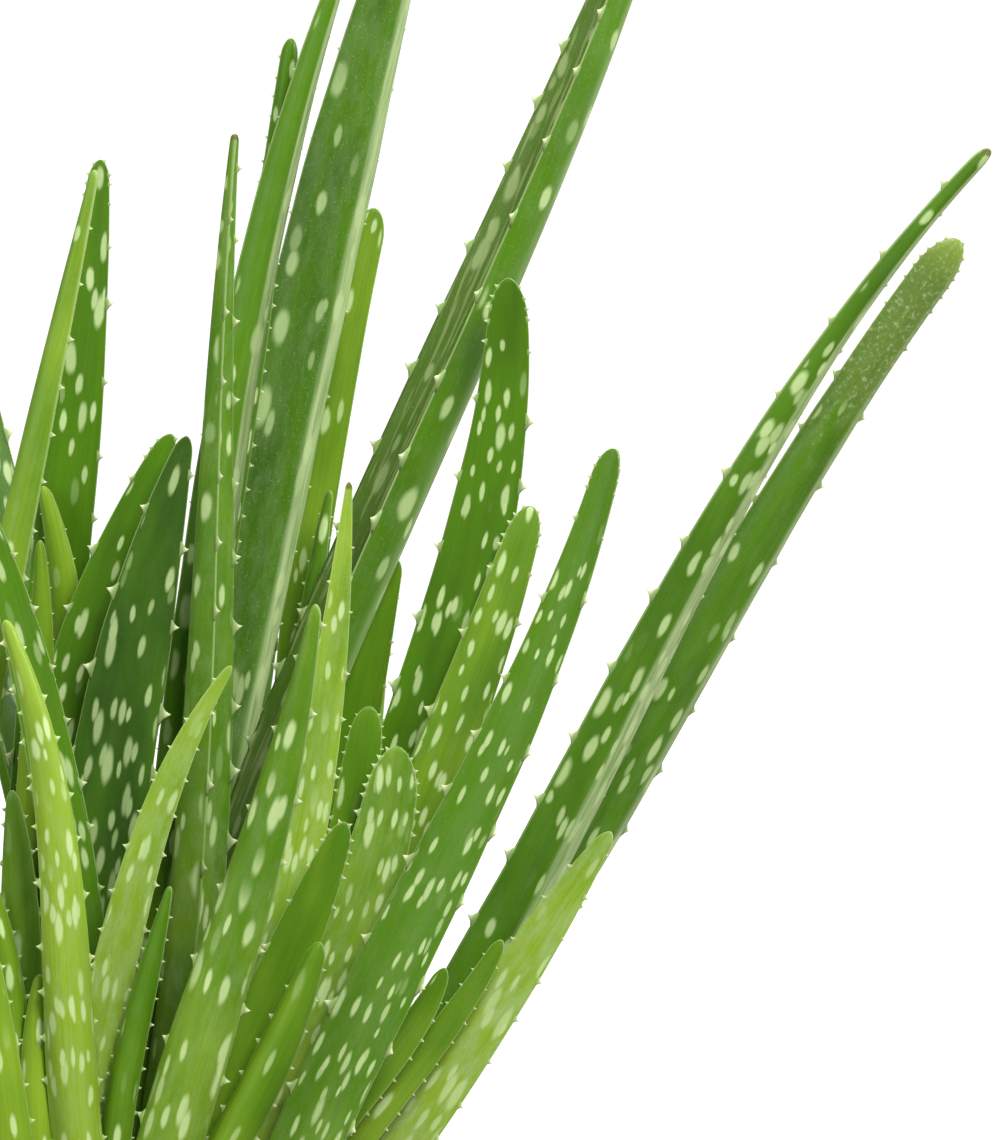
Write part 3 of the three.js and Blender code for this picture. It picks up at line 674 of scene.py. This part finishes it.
def long_spots(f, across, along, shift, amount, width, height):
    """Long soft spots in columns, each column set off from the next; no spot leaves its cell."""
    cell_x = f.math("MULTIPLY_ADD", across, 1 / width, shift)
    column = f.math("FLOOR", f.math("ADD", cell_x, 0.3))
    start = f.node("ShaderNodeTexWhiteNoise", {"W": column}, noise_dimensions="1D").outputs["Value"]
    cell_y = f.math("MULTIPLY_ADD", along, 1 / height, start)
    cells = f.node("ShaderNodeTexVoronoi", {
        "Vector": f.vector(cell_x, cell_y, 0.0), "Scale": 1.0, "Randomness": 0.4,
    }, voronoi_dimensions="2D")
    draw = f.node("ShaderNodeSeparateColor", {0: cells.outputs["Color"]}).outputs
    # one chance for the whole of a spot, from the band that its middle is in
    spot_x, spot_y, _ = f.node("ShaderNodeSeparateXYZ", {0: cells.outputs["Position"]}).outputs
    band_x = f.times(f.math("SUBTRACT", spot_x, shift), width * 0.03)
    band_y = f.times(f.math("SUBTRACT", spot_y, start), height * 0.045)
    band = f.noise(f.vector(band_x, band_y, shift), 1)
    chance = f.times(amount, f.fade(band, 0.42, 0.56, 0, 1.1))
    chance = f.math("ADD", chance, f.fade(amount, 0.8, 1.2, 0, 0.35))
    kept = f.fade(f.math("SUBTRACT", draw[0], chance), 0.08, -0.05)
    radius = f.math("MULTIPLY_ADD", draw[1], SPOT_RANGE, SPOT_SMALLEST)
    spot = f.fade(f.math("DIVIDE", cells.outputs["Distance"], radius), 1.1, 0.55)
    strength = f.math("MULTIPLY_ADD", draw[2], 0.25, 0.75)
    return f.times(f.times(spot, kept), strength)


def leaf_finish(name, roughness):
    """Green skin with fine lines and bands of pale spots, a pale margin, and worn or dried tips."""
    f = Finish(name, roughness)
    across, along, side = f.attribute("place")
    edge, to_tip, _ = f.attribute("size")
    tone, spots, bloom = f.attribute("look")
    seed, dried, tooth = f.attribute("wear")
    # the first of these is how much painted highlight a point gets
    flank, spot_size, bronze = f.attribute("flank")
    shift = f.times(seed, 37.3)

    def grain(fine_across, fine_along, detail=2, crisp=0.5):
        """Noise with about this many features in a millimetre across the leaf, and along it."""
        place = f.vector(f.times(across, fine_across), f.times(along, fine_along), shift)
        return f.noise(place, 1, detail, crisp)

    # greens from dark to yellow, uneven over the leaf and paler at its foot
    patch = f.math("MULTIPLY_ADD", grain(0.12, 0.03), 0.5, -0.25)
    foot = f.fade(along, 20, 150, 0.18, 0)
    shade = f.math("ADD", f.math("ADD", tone, patch), foot, clamp=True)
    skin = f.mix(f.fade(shade, 0, 0.5), DARK_GREEN, GREEN)
    skin = f.mix(f.fade(shade, 0.5, 1), skin, YELLOW_GREEN)

    # fine lines along the leaf
    lines = grain(2.2, 0.02, 3)
    skin = f.mix(f.fade(lines, 0.35, 0.65, 0, 0.12), skin, LINE)

    # spots in three layers that run into each other, fewer near the tip, none on the margin
    wobble = grain(0.2, 0.06, 3)
    bent_across = f.math("MULTIPLY_ADD", wobble, 2.0, across)
    bent_along = f.times(along, f.math("MULTIPLY_ADD", along, 0.001, 1))
    bent_along = f.math("MULTIPLY_ADD", wobble, 5.0, bent_along)
    spot_across = f.math("DIVIDE", bent_across, spot_size)
    spot_along = f.math("DIVIDE", bent_along, spot_size)
    amount = f.times(spots, f.fade(to_tip, 10, 110, 0.5, 1))
    side_shift = f.math("MULTIPLY_ADD", side, 11.7, shift)
    spot = 0.0
    for width, height, start in SPOT_LAYERS:
        start = f.math("ADD", side_shift, start)
        layer = long_spots(f, spot_across, spot_along, start, amount, width, height)
        spot = f.math("MAXIMUM", spot, layer)
    spot = f.times(spot, f.fade(edge, 0.35, 0.9))
    spot = f.times(spot, f.fade(bloom, 0, 1, 1, 0.8))
    spot = f.times(spot, f.fade(tone, 0.1, 0.6, 0.6, 0.9))
    skin = f.mix(spot, skin, SPOT)

    # painted highlight: a pale streaked strip on the flank that looks right, where the light falls;
    # then the bronzed and streaked upper face of an old leaf
    streaks = grain(1.1, 0.05, 4)
    pale = f.times(f.fade(flank, 0.62, 0.82), f.fade(streaks, 0.3, 0.65, 0.35, 0.85))
    skin = f.mix(pale, skin, FLANK_HIGHLIGHT)
    bronzed = f.times(bronze, f.fade(side, -0.3, 0.3))
    skin = f.mix(f.times(bronzed, 0.7), skin, BRONZE)
    skin = f.mix(f.times(bronzed, f.fade(streaks, 0.52, 0.62, 0, 0.8)), skin, BRONZE_STREAK)

    # bloom: soft smears, thicker near the foot, and a fine pale dust
    smear = grain(0.35, 0.1, 5, 0.7)
    dust = f.times(f.fade(smear, 0.35, 0.75), f.times(bloom, 0.45))
    dust = f.times(dust, f.fade(along, 70, 170, 1.4, 0.7))
    skin = f.mix(dust, skin, f.mix(f.fade(tone, 0.35, 0.7), BLOOM_DARK, BLOOM_PALE))
    specks = f.times(f.fade(grain(2.6, 1.8, 2, 0.6), 0.62, 0.72), f.times(bloom, 0.5))
    skin = f.mix(specks, skin, BLOOM_SPECK)

    # the pale margin, and a dried tip with an uneven edge
    skin = f.mix(f.fade(edge, 0.3, 0.05, 0, 0.45), skin, MARGIN)
    corky = f.times(f.math("MULTIPLY_ADD", smear, 1.6, 0.2), dried)
    withered = f.fade(f.math("DIVIDE", to_tip, f.math("ADD", corky, 0.01)), 1.05, 0.6, 0, 0.75)
    scuffed = f.fade(dried, *SCUFFED)
    skin = f.mix(f.times(withered, f.math("SUBTRACT", 1, scuffed)), skin, DRIED)

    # a long tip that is only worn: olive with pale and brown flecks, and yellow at its end
    worn = f.times(withered, scuffed)
    flecks = grain(1.0, 0.7, 5, 0.75)
    skin = f.mix(f.times(worn, 0.6), skin, WORN)
    skin = f.mix(f.times(worn, f.fade(flecks, 0.53, 0.65, 0, 0.8)), skin, PALE_FLECK)
    skin = f.mix(f.times(worn, f.fade(flecks, 0.45, 0.36, 0, 0.7)), skin, BROWN_FLECK)
    skin = f.mix(f.times(worn, f.fade(to_tip, 14, 3, 0, 0.5)), skin, WORN_END)

    # cream teeth with brown points
    skin = f.mix(f.fade(tooth, 0.25, 0.7), skin, TOOTH)
    skin = f.mix(f.fade(tooth, 0.9, 1, 0, 0.35), skin, TOOTH_POINT)

    # fine relief, with the spots a little raised, and a duller skin where there is bloom
    pores = grain(1.6, 0.7, 4)
    height = f.math("ADD", f.times(pores, 0.5), f.times(lines, 0.5))
    normal = f.bump(spot, 0.1, 0.5, f.bump(height, 0.3, 0.4))
    rough = f.fade(pores, 0.3, 0.7, roughness - 0.07, roughness + 0.07)
    rough = f.math("ADD", rough, f.times(dust, 0.5))
    return f.finish(Base_Color=skin, Roughness=rough, Normal=normal, Specular_IOR_Level=0.22)


def stem_finish():
    """Mottled green and brown bark."""
    f = Finish("stem_bark", 0.8)
    marks = f.noise(f.where(), 900, 5)
    colour = f.mix(marks, linear("6f7a3c"), linear("a08a5c"))
    return f.finish(Base_Color=colour, Normal=f.bump(marks, 0.6))


def clay_finish():
    """Fired clay: orange-brown, chalky bloom in bands and patches, fine sandy grain."""
    f = Finish("clay", 0.86)
    where = f.where()
    x, y, z = f.node("ShaderNodeSeparateXYZ", {0: where}).outputs
    broad = f.noise(where, 22, 5, 0.6)
    colour = f.mix(f.fade(broad, 0.3, 0.7), linear("a9572f"), linear("c77a4b"))
    # bands from turning, then chalk, then damp near the ground, then dark grains
    bands = f.noise(f.vector(f.times(x, 8), f.times(y, 8), f.times(z, 260)), 1, 3)
    colour = f.mix(f.fade(bands, 0.4, 0.7, 0, 0.35), colour, linear("b96a3e"))
    chalk = f.times(f.fade(f.noise(where, 38, 6, 0.7), 0.52, 0.7), 0.55)
    colour = f.mix(chalk, colour, linear("dcb79c"))
    damp = f.times(f.fade(z, 0.035, 0.0), f.fade(broad, 0.35, 0.6, 0.2, 0.6))
    colour = f.mix(damp, colour, linear("7c4026"))
    grain = f.noise(where, 1500, 4, 0.65)
    colour = f.mix(f.fade(grain, 0.62, 0.72, 0, 0.5), colour, linear("7a3f24"))
    normal = f.bump(bands, 0.25, 0.6)
    normal = f.bump(grain, 0.2, 0.7, normal)
    return f.finish(Base_Color=colour, Normal=normal)


def soil_finish():
    """Dark crumbly mix with paler fibres."""
    f = Finish("potting_mix", 0.95)
    where = f.where()
    crumbs = f.noise(where, 380, 8, 0.7)
    fine = f.noise(where, 1600, 4, 0.7)
    colour = f.mix(f.fade(crumbs, 0.35, 0.7), linear("2a1e15"), linear("5a4533"))
    colour = f.mix(f.fade(fine, 0.6, 0.75, 0, 0.6), colour, linear("7d6650"))
    normal = f.bump(crumbs, 2.0, 1.0)
    return f.finish(Base_Color=colour, Normal=f.bump(fine, 0.5, 0.8, normal))


def chip_finish(name, dark, pale, scale):
    """Bark or perlite: marks of two colours, at the given scale."""
    f = Finish(name, 0.9)
    marks = f.noise(f.where(), scale, 5, 0.65)
    colour = f.mix(f.fade(marks, 0.3, 0.7), linear(dark), linear(pale))
    return f.finish(Base_Color=colour, Normal=f.bump(marks, 0.4, 0.8))


LEAF = leaf_finish("leaf_skin", 0.4)
YOUNG = leaf_finish("young_leaf_skin", 0.38)
BARK = stem_finish()
CLAY = clay_finish()
SOIL = soil_finish()


# ---- leaves, stems and offsets ----
def stands_for(piece, node):
    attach(piece, "root")
    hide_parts(node)


def look_of(node, seed):
    if node in LOOKS:
        return LOOKS[node]
    random = np.random.default_rng(seed)
    tone, spots, bloom = random.uniform(0.3, 0.65), random.uniform(0.4, 0.95), random.uniform(0, 0.35)
    return tone, spots, bloom, 0, 1, 0, random.uniform(1, 1.3), 0


seed = 0  # counts the leaves, in the order of the tables
for name, stem in STEMS.items():
    node = f"heart_{name}"
    shell = Shell()
    add_stem(shell, stem)
    for row in YOUNG_LEAVES[name]:
        seed += 1
        add_blade(shell, seen_blade(stem, row), look_of(node, seed), seed)
    stands_for(shell.make(f"{node}_fine", [YOUNG, BARK]), node)

leaf_count = {}
for table in (SEEN_LEAVES, BACK_LEAVES, SIDE_LEAVES):
    blade_of = leaning_blade if table is SIDE_LEAVES else seen_blade
    for name, rows in table.items():
        for row in rows:
            leaf_count[name] = leaf_count.get(name, 0) + 1
            node = f"leaf_{name}_{leaf_count[name]}"
            seed += 1
            shell = Shell()
            add_blade(shell, blade_of(STEMS[name], row), look_of(node, seed), seed)
            stands_for(shell.make(f"{node}_fine", [LEAF]), node)

for node, (x, y, radius, count, length, width, first_way) in OFFSETS.items():
    stem = (x, y, radius, radius * 3)
    shell = Shell()
    add_stem(shell, stem)
    for i in range(count):
        # from the outermost, lowest leaf to the longest and most upright one
        share = i / (count - 1)
        way = first_way + i * GOLDEN_ANGLE
        lean = 42 - 30 * share
        own_length = length * (0.7 + 0.3 * share)
        rise = 6 + share * radius * 1.6
        seed += 1
        blade = leaning_blade(stem, (way, lean, own_length, width, rise))
        add_blade(shell, blade, OFFSET_LOOK, seed)
    stands_for(shell.make(f"{node}_fine", [YOUNG, BARK]), node)


# ---- pot ----
FOOT_ROUND = 1.6  # radius of the rounded foot
BAND_ROUND = 1.9  # of the band's lower edge
LIP_ROUND, INNER_ROUND = 2.4, 2  # of the lip, outside and in
WAVES, WAVE_LENGTH = 0.35, 45  # unevenness of the wall
RIDGES, RIDGE_STEP = 0.12, 4  # low rings from turning


def body_radius(z):
    return FOOT_RADIUS + (RIM_RADIUS - RIM_STEP - FOOT_RADIUS) * z / POT_HEIGHT


def inner_radius(z):
    return body_radius(z) - WALL


def arc(centre, radius, start, end, steps):
    """Points of a round corner, in degrees."""
    turns = np.radians(np.linspace(start, end, steps))
    return [(centre[0] + radius * math.cos(turn), centre[1] + radius * math.sin(turn)) for turn in turns]


def thrown(points):
    """The slight unevenness of a pot pressed and turned by hand."""
    for point in points:
        bend = noise.noise(Vector(point) / WAVE_LENGTH) * WAVES
        bend = bend + noise.noise(Vector((0, 0, point[2] / RIDGE_STEP))) * RIDGES
        radius = math.hypot(point[0], point[1])
        if 3 < point[2] < POT_HEIGHT - 3 and radius > 1:
            point[:2] *= 1 + bend / radius
    return points


def make_pot():
    """The pot, turned from the outline of its wall, with drainage holes in its floor."""
    band_foot = POT_HEIGHT - RIM_BAND
    lip_out, lip_in = RIM_RADIUS - 2.5, inner_radius(POT_HEIGHT) + INNER_ROUND
    # underside and foot
    profile = [(0, 0), (15, 0), (35, 0), (FOOT_RADIUS - 2, 0)]
    profile += arc((FOOT_RADIUS - FOOT_ROUND, FOOT_ROUND), FOOT_ROUND, -80, 0, 5)
    # body, then the rim band
    profile += [(body_radius(z), z) for z in np.linspace(4, band_foot - 1, 30)]
    profile += arc((RIM_RADIUS - 2.2, band_foot + 2.2), BAND_ROUND, -95, -5, 6)
    profile += [(RIM_RADIUS - 0.2, z) for z in np.linspace(band_foot + 4, POT_HEIGHT - 4, 9)]
    # lip, inside and floor
    profile += arc((lip_out, POT_HEIGHT - LIP_ROUND), LIP_ROUND, 5, 88, 6)
    profile += arc((lip_in, POT_HEIGHT - INNER_ROUND), INNER_ROUND, 92, 175, 6)
    profile += [(inner_radius(z), z) for z in np.linspace(POT_HEIGHT - 4, FLOOR + 2, 24)]
    profile += [(inner_radius(FLOOR) - 2, FLOOR), (0, FLOOR)]
    shell = Shell()
    add_turned(shell, profile, 128, shape=thrown)
    pot = shell.make("pot_fine", [CLAY])
    hole = [(0, -1), (DRAIN_RADIUS, -1), (DRAIN_RADIUS, FLOOR + 1), (0, FLOOR + 1)]
    for angle in DRAIN_ANGLES:
        drill = Shell()
        turn = math.radians(angle)
        centre = (DRAIN_CIRCLE * math.cos(turn), DRAIN_CIRCLE * math.sin(turn), 0)
        add_turned(drill, hole, 32, centre)
        cutter = drill.make("drill", [CLAY])
        cut = pot.modifiers.new("drain", "BOOLEAN")
        cut.operation = "DIFFERENCE"
        cut.object = cutter
        bpy.context.view_layer.objects.active = pot
        bpy.ops.object.modifier_apply(modifier=cut.name)
        bpy.data.objects.remove(cutter)
    stands_for(pot, "pot")


# ---- potting mix ----
CRUMB_LENGTH, CRUMB_HEIGHT = 5, 1.1
EDGE_DROP = 2.2  # how much lower the mix lies at the wall


def soil_rise(x, y):
    """The low waves that the frame's mix has too."""
    return math.sin(x / 9 + 1.3) * math.cos(y / 7.5) + 0.6 * math.sin(x / 4.3 - y / 5.1)


def soil_height(x, y):
    """The height of the mix: low waves with crumbs on them, lower at the wall."""
    crumbs = noise.fractal(Vector((x, y, 0)) / CRUMB_LENGTH, 0.9, 2, 4) * CRUMB_HEIGHT
    edge = math.hypot(x, y) / (inner_radius(SOIL_TOP) - GAP)
    return SOIL_TOP + soil_rise(x, y) * (1 - edge**6) + crumbs - EDGE_DROP * edge**8


def heaped(points):
    """The points of the flat top, raised to the mix's height."""
    for point in points:
        if point[2] > SOIL_TOP - 0.5:
            point[2] = soil_height(point[0], point[1])
    return points


def make_soil():
    low = FLOOR + GAP
    profile = [(0, low), (20, low), (inner_radius(low) - GAP, low)]
    profile += [(inner_radius(z) - GAP, z) for z in np.linspace(20, SOIL_TOP - 3, 6)]
    wide = inner_radius(SOIL_TOP - 3) - GAP
    profile += [(wide * share, SOIL_TOP) for share in np.linspace(0.995, 0.01, 56)]
    shell = Shell()
    add_turned(shell, [*profile, (0, SOIL_TOP)], 144, shape=heaped)
    stands_for(shell.make("soil_fine", [SOIL]), "soil")


DENTS = 0.55  # how uneven the loose bits are, as a share of their radius
CHIP_TILT = 0.35  # the most that one tilts, in radians
CHIP_SHOWS = 0.35  # how far its middle lies above the mix, as a share of its height


def make_chips(name, material, count, size, flat, seed):
    """Loose bits half sunk in the mix, clear of the stems. Their longest radius is within size."""
    random = np.random.default_rng(seed)
    mould = bmesh.new()
    bmesh.ops.create_icosphere(mould, subdivisions=2, radius=1)
    ball = np.array([vertex.co for vertex in mould.verts])
    faces = [tuple(vertex.index for vertex in face.verts) for face in mould.faces]
    mould.free()
    crowns = [stem[:3] for stem in STEMS.values()] + [row[:3] for row in OFFSETS.values()]
    shell = Shell()
    placed = 0
    while placed < count:
        far = (inner_radius(SOIL_TOP) - 4) * math.sqrt(random.random())
        way = random.uniform(0, 2 * math.pi)
        x, y = far * math.cos(way), far * math.sin(way)
        if any(math.hypot(x - crown[0], y - crown[1]) < crown[2] + 1 for crown in crowns):
            continue
        long = random.uniform(*size)
        away = Vector((placed, seed, 0))
        dents = np.array([noise.noise(Vector(point) * 1.7 + away) for point in ball])
        radii = (long, long * random.uniform(0.5, 0.8), long * flat)
        chip = ball * (1 + DENTS * dents[:, None]) * radii
        turn, tilt = random.uniform(0, 2 * math.pi), random.uniform(-CHIP_TILT, CHIP_TILT)
        sin, cos = math.sin(turn), math.cos(turn)
        spin = np.array([[cos, -sin, 0], [sin, cos, 0], [0, 0, 1]])
        sin, cos = math.sin(tilt), math.cos(tilt)
        lean = np.array([[1, 0, 0], [0, cos, -sin], [0, sin, cos]])
        height = soil_height(x, y) + long * flat * CHIP_SHOWS
        shell.add(chip @ (spin @ lean).T + (x, y, height), faces)
        placed += 1
    piece = shell.make(name, [material])
    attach(piece, "root")


make_pot()
make_soil()
bark = chip_finish("bark_chips", "3a2413", "7a5635", 700)
make_chips("soil_bark", bark, count=260, size=(1.6, 4.2), flat=0.4, seed=5)
perlite = chip_finish("perlite", "cfcabc", "f1eee6", 900)
make_chips("soil_perlite", perlite, count=90, size=(0.8, 1.7), flat=0.85, seed=9)


# ---- stage: floor, light and camera ----
FLOOR_REACH, FLOOR_CURVE, BACKDROP = 8500, 1500, 9500  # where it curves up, how, and how high
FLOOR_GLOW = (0.58, 0.97)  # at the pot and far off, where it keeps the paper white
GLOW_FADE = (0.35, 1.6)  # from one to the other between these distances, in metres
WORLD_LIGHT = 0.35
# Round lamps: place in metres, width and power.
LAMPS = {
    "key": ((0.8, -1.6, 1.9), 1.0, 54),
    "fill": ((-1.6, -1.3, 0.9), 1.4, 14),
    "rim": ((1.6, 0.3, 0.8), 0.7, 20),
    "top": ((-0.1, 0.7, 1.9), 1.0, 22),
}
LIT_POINT = (0.05, 0, 0.28)


def make_floor():
    """A round pale floor that curves up into a backdrop far away on every side."""
    profile = [(0, 0), (1000, 0), (FLOOR_REACH, 0)]
    curve = arc((0, 0), FLOOR_CURVE, -82, 0, 10)
    profile += [(x + FLOOR_REACH, y + FLOOR_CURVE) for x, y in curve]
    profile += [(FLOOR_REACH + FLOOR_CURVE, BACKDROP), (0, BACKDROP)]
    f = Finish("pale_floor", 0.9)
    far = f.node("ShaderNodeVectorMath", {0: f.where()}, operation="LENGTH").outputs["Value"]
    glow = f.fade(far, *GLOW_FADE, *FLOOR_GLOW)
    paper = f.finish(Base_Color=linear("a6a6a4"), Emission_Color=(1, 1, 1, 1), Emission_Strength=glow)
    shell = Shell()
    add_turned(shell, profile, 96)
    floor = shell.make("floor", [paper])
    floor.visible_diffuse = False  # its glow is for the eye and leaves the plant's shade deep
    floor.visible_glossy = False


def make_lamp(name, place, size, power):
    data = bpy.data.lights.new(name, "AREA")
    data.shape = "DISK"
    data.size = size
    data.energy = power
    lamp = bpy.data.objects.new(name, data)
    lamp.location = place
    lamp.rotation_euler = (Vector(LIT_POINT) - Vector(place)).to_track_quat("-Z", "Y").to_euler()
    bpy.context.collection.objects.link(lamp)


def make_camera():
    """The photograph's view: its frame is as tall as the photo at the pot's middle."""
    sin, cos = math.sin(EYE_RISE), math.cos(EYE_RISE)
    target = Vector((VIEW_CENTRE[0], 0, SOIL_TOP + VIEW_CENTRE[1])) * MM
    data = bpy.data.cameras.new("camera")
    camera = bpy.data.objects.new("camera", data)
    camera.location = target + Vector((0, -cos, sin)) * EYE_DISTANCE * MM
    camera.rotation_euler = (target - camera.location).to_track_quat("-Z", "Y").to_euler()
    data.sensor_width = 36
    data.lens = data.sensor_width * EYE_DISTANCE / (max(PHOTO_SIZE) / PHOTO_SCALE)
    data.clip_start, data.clip_end = 0.05, 50
    bpy.context.collection.objects.link(camera)
    bpy.context.scene.camera = camera


make_floor()
make_camera()
for name, (place, size, power) in LAMPS.items():
    make_lamp(name, place, size, power)
world = bpy.data.worlds.new("studio")
world.use_nodes = True
sky = world.node_tree.nodes["Background"]
sky.inputs["Color"].default_value = (1, 1, 1, 1)
sky.inputs["Strength"].default_value = WORLD_LIGHT
bpy.context.scene.world = world
bpy.context.scene.view_settings.view_transform = "Standard"
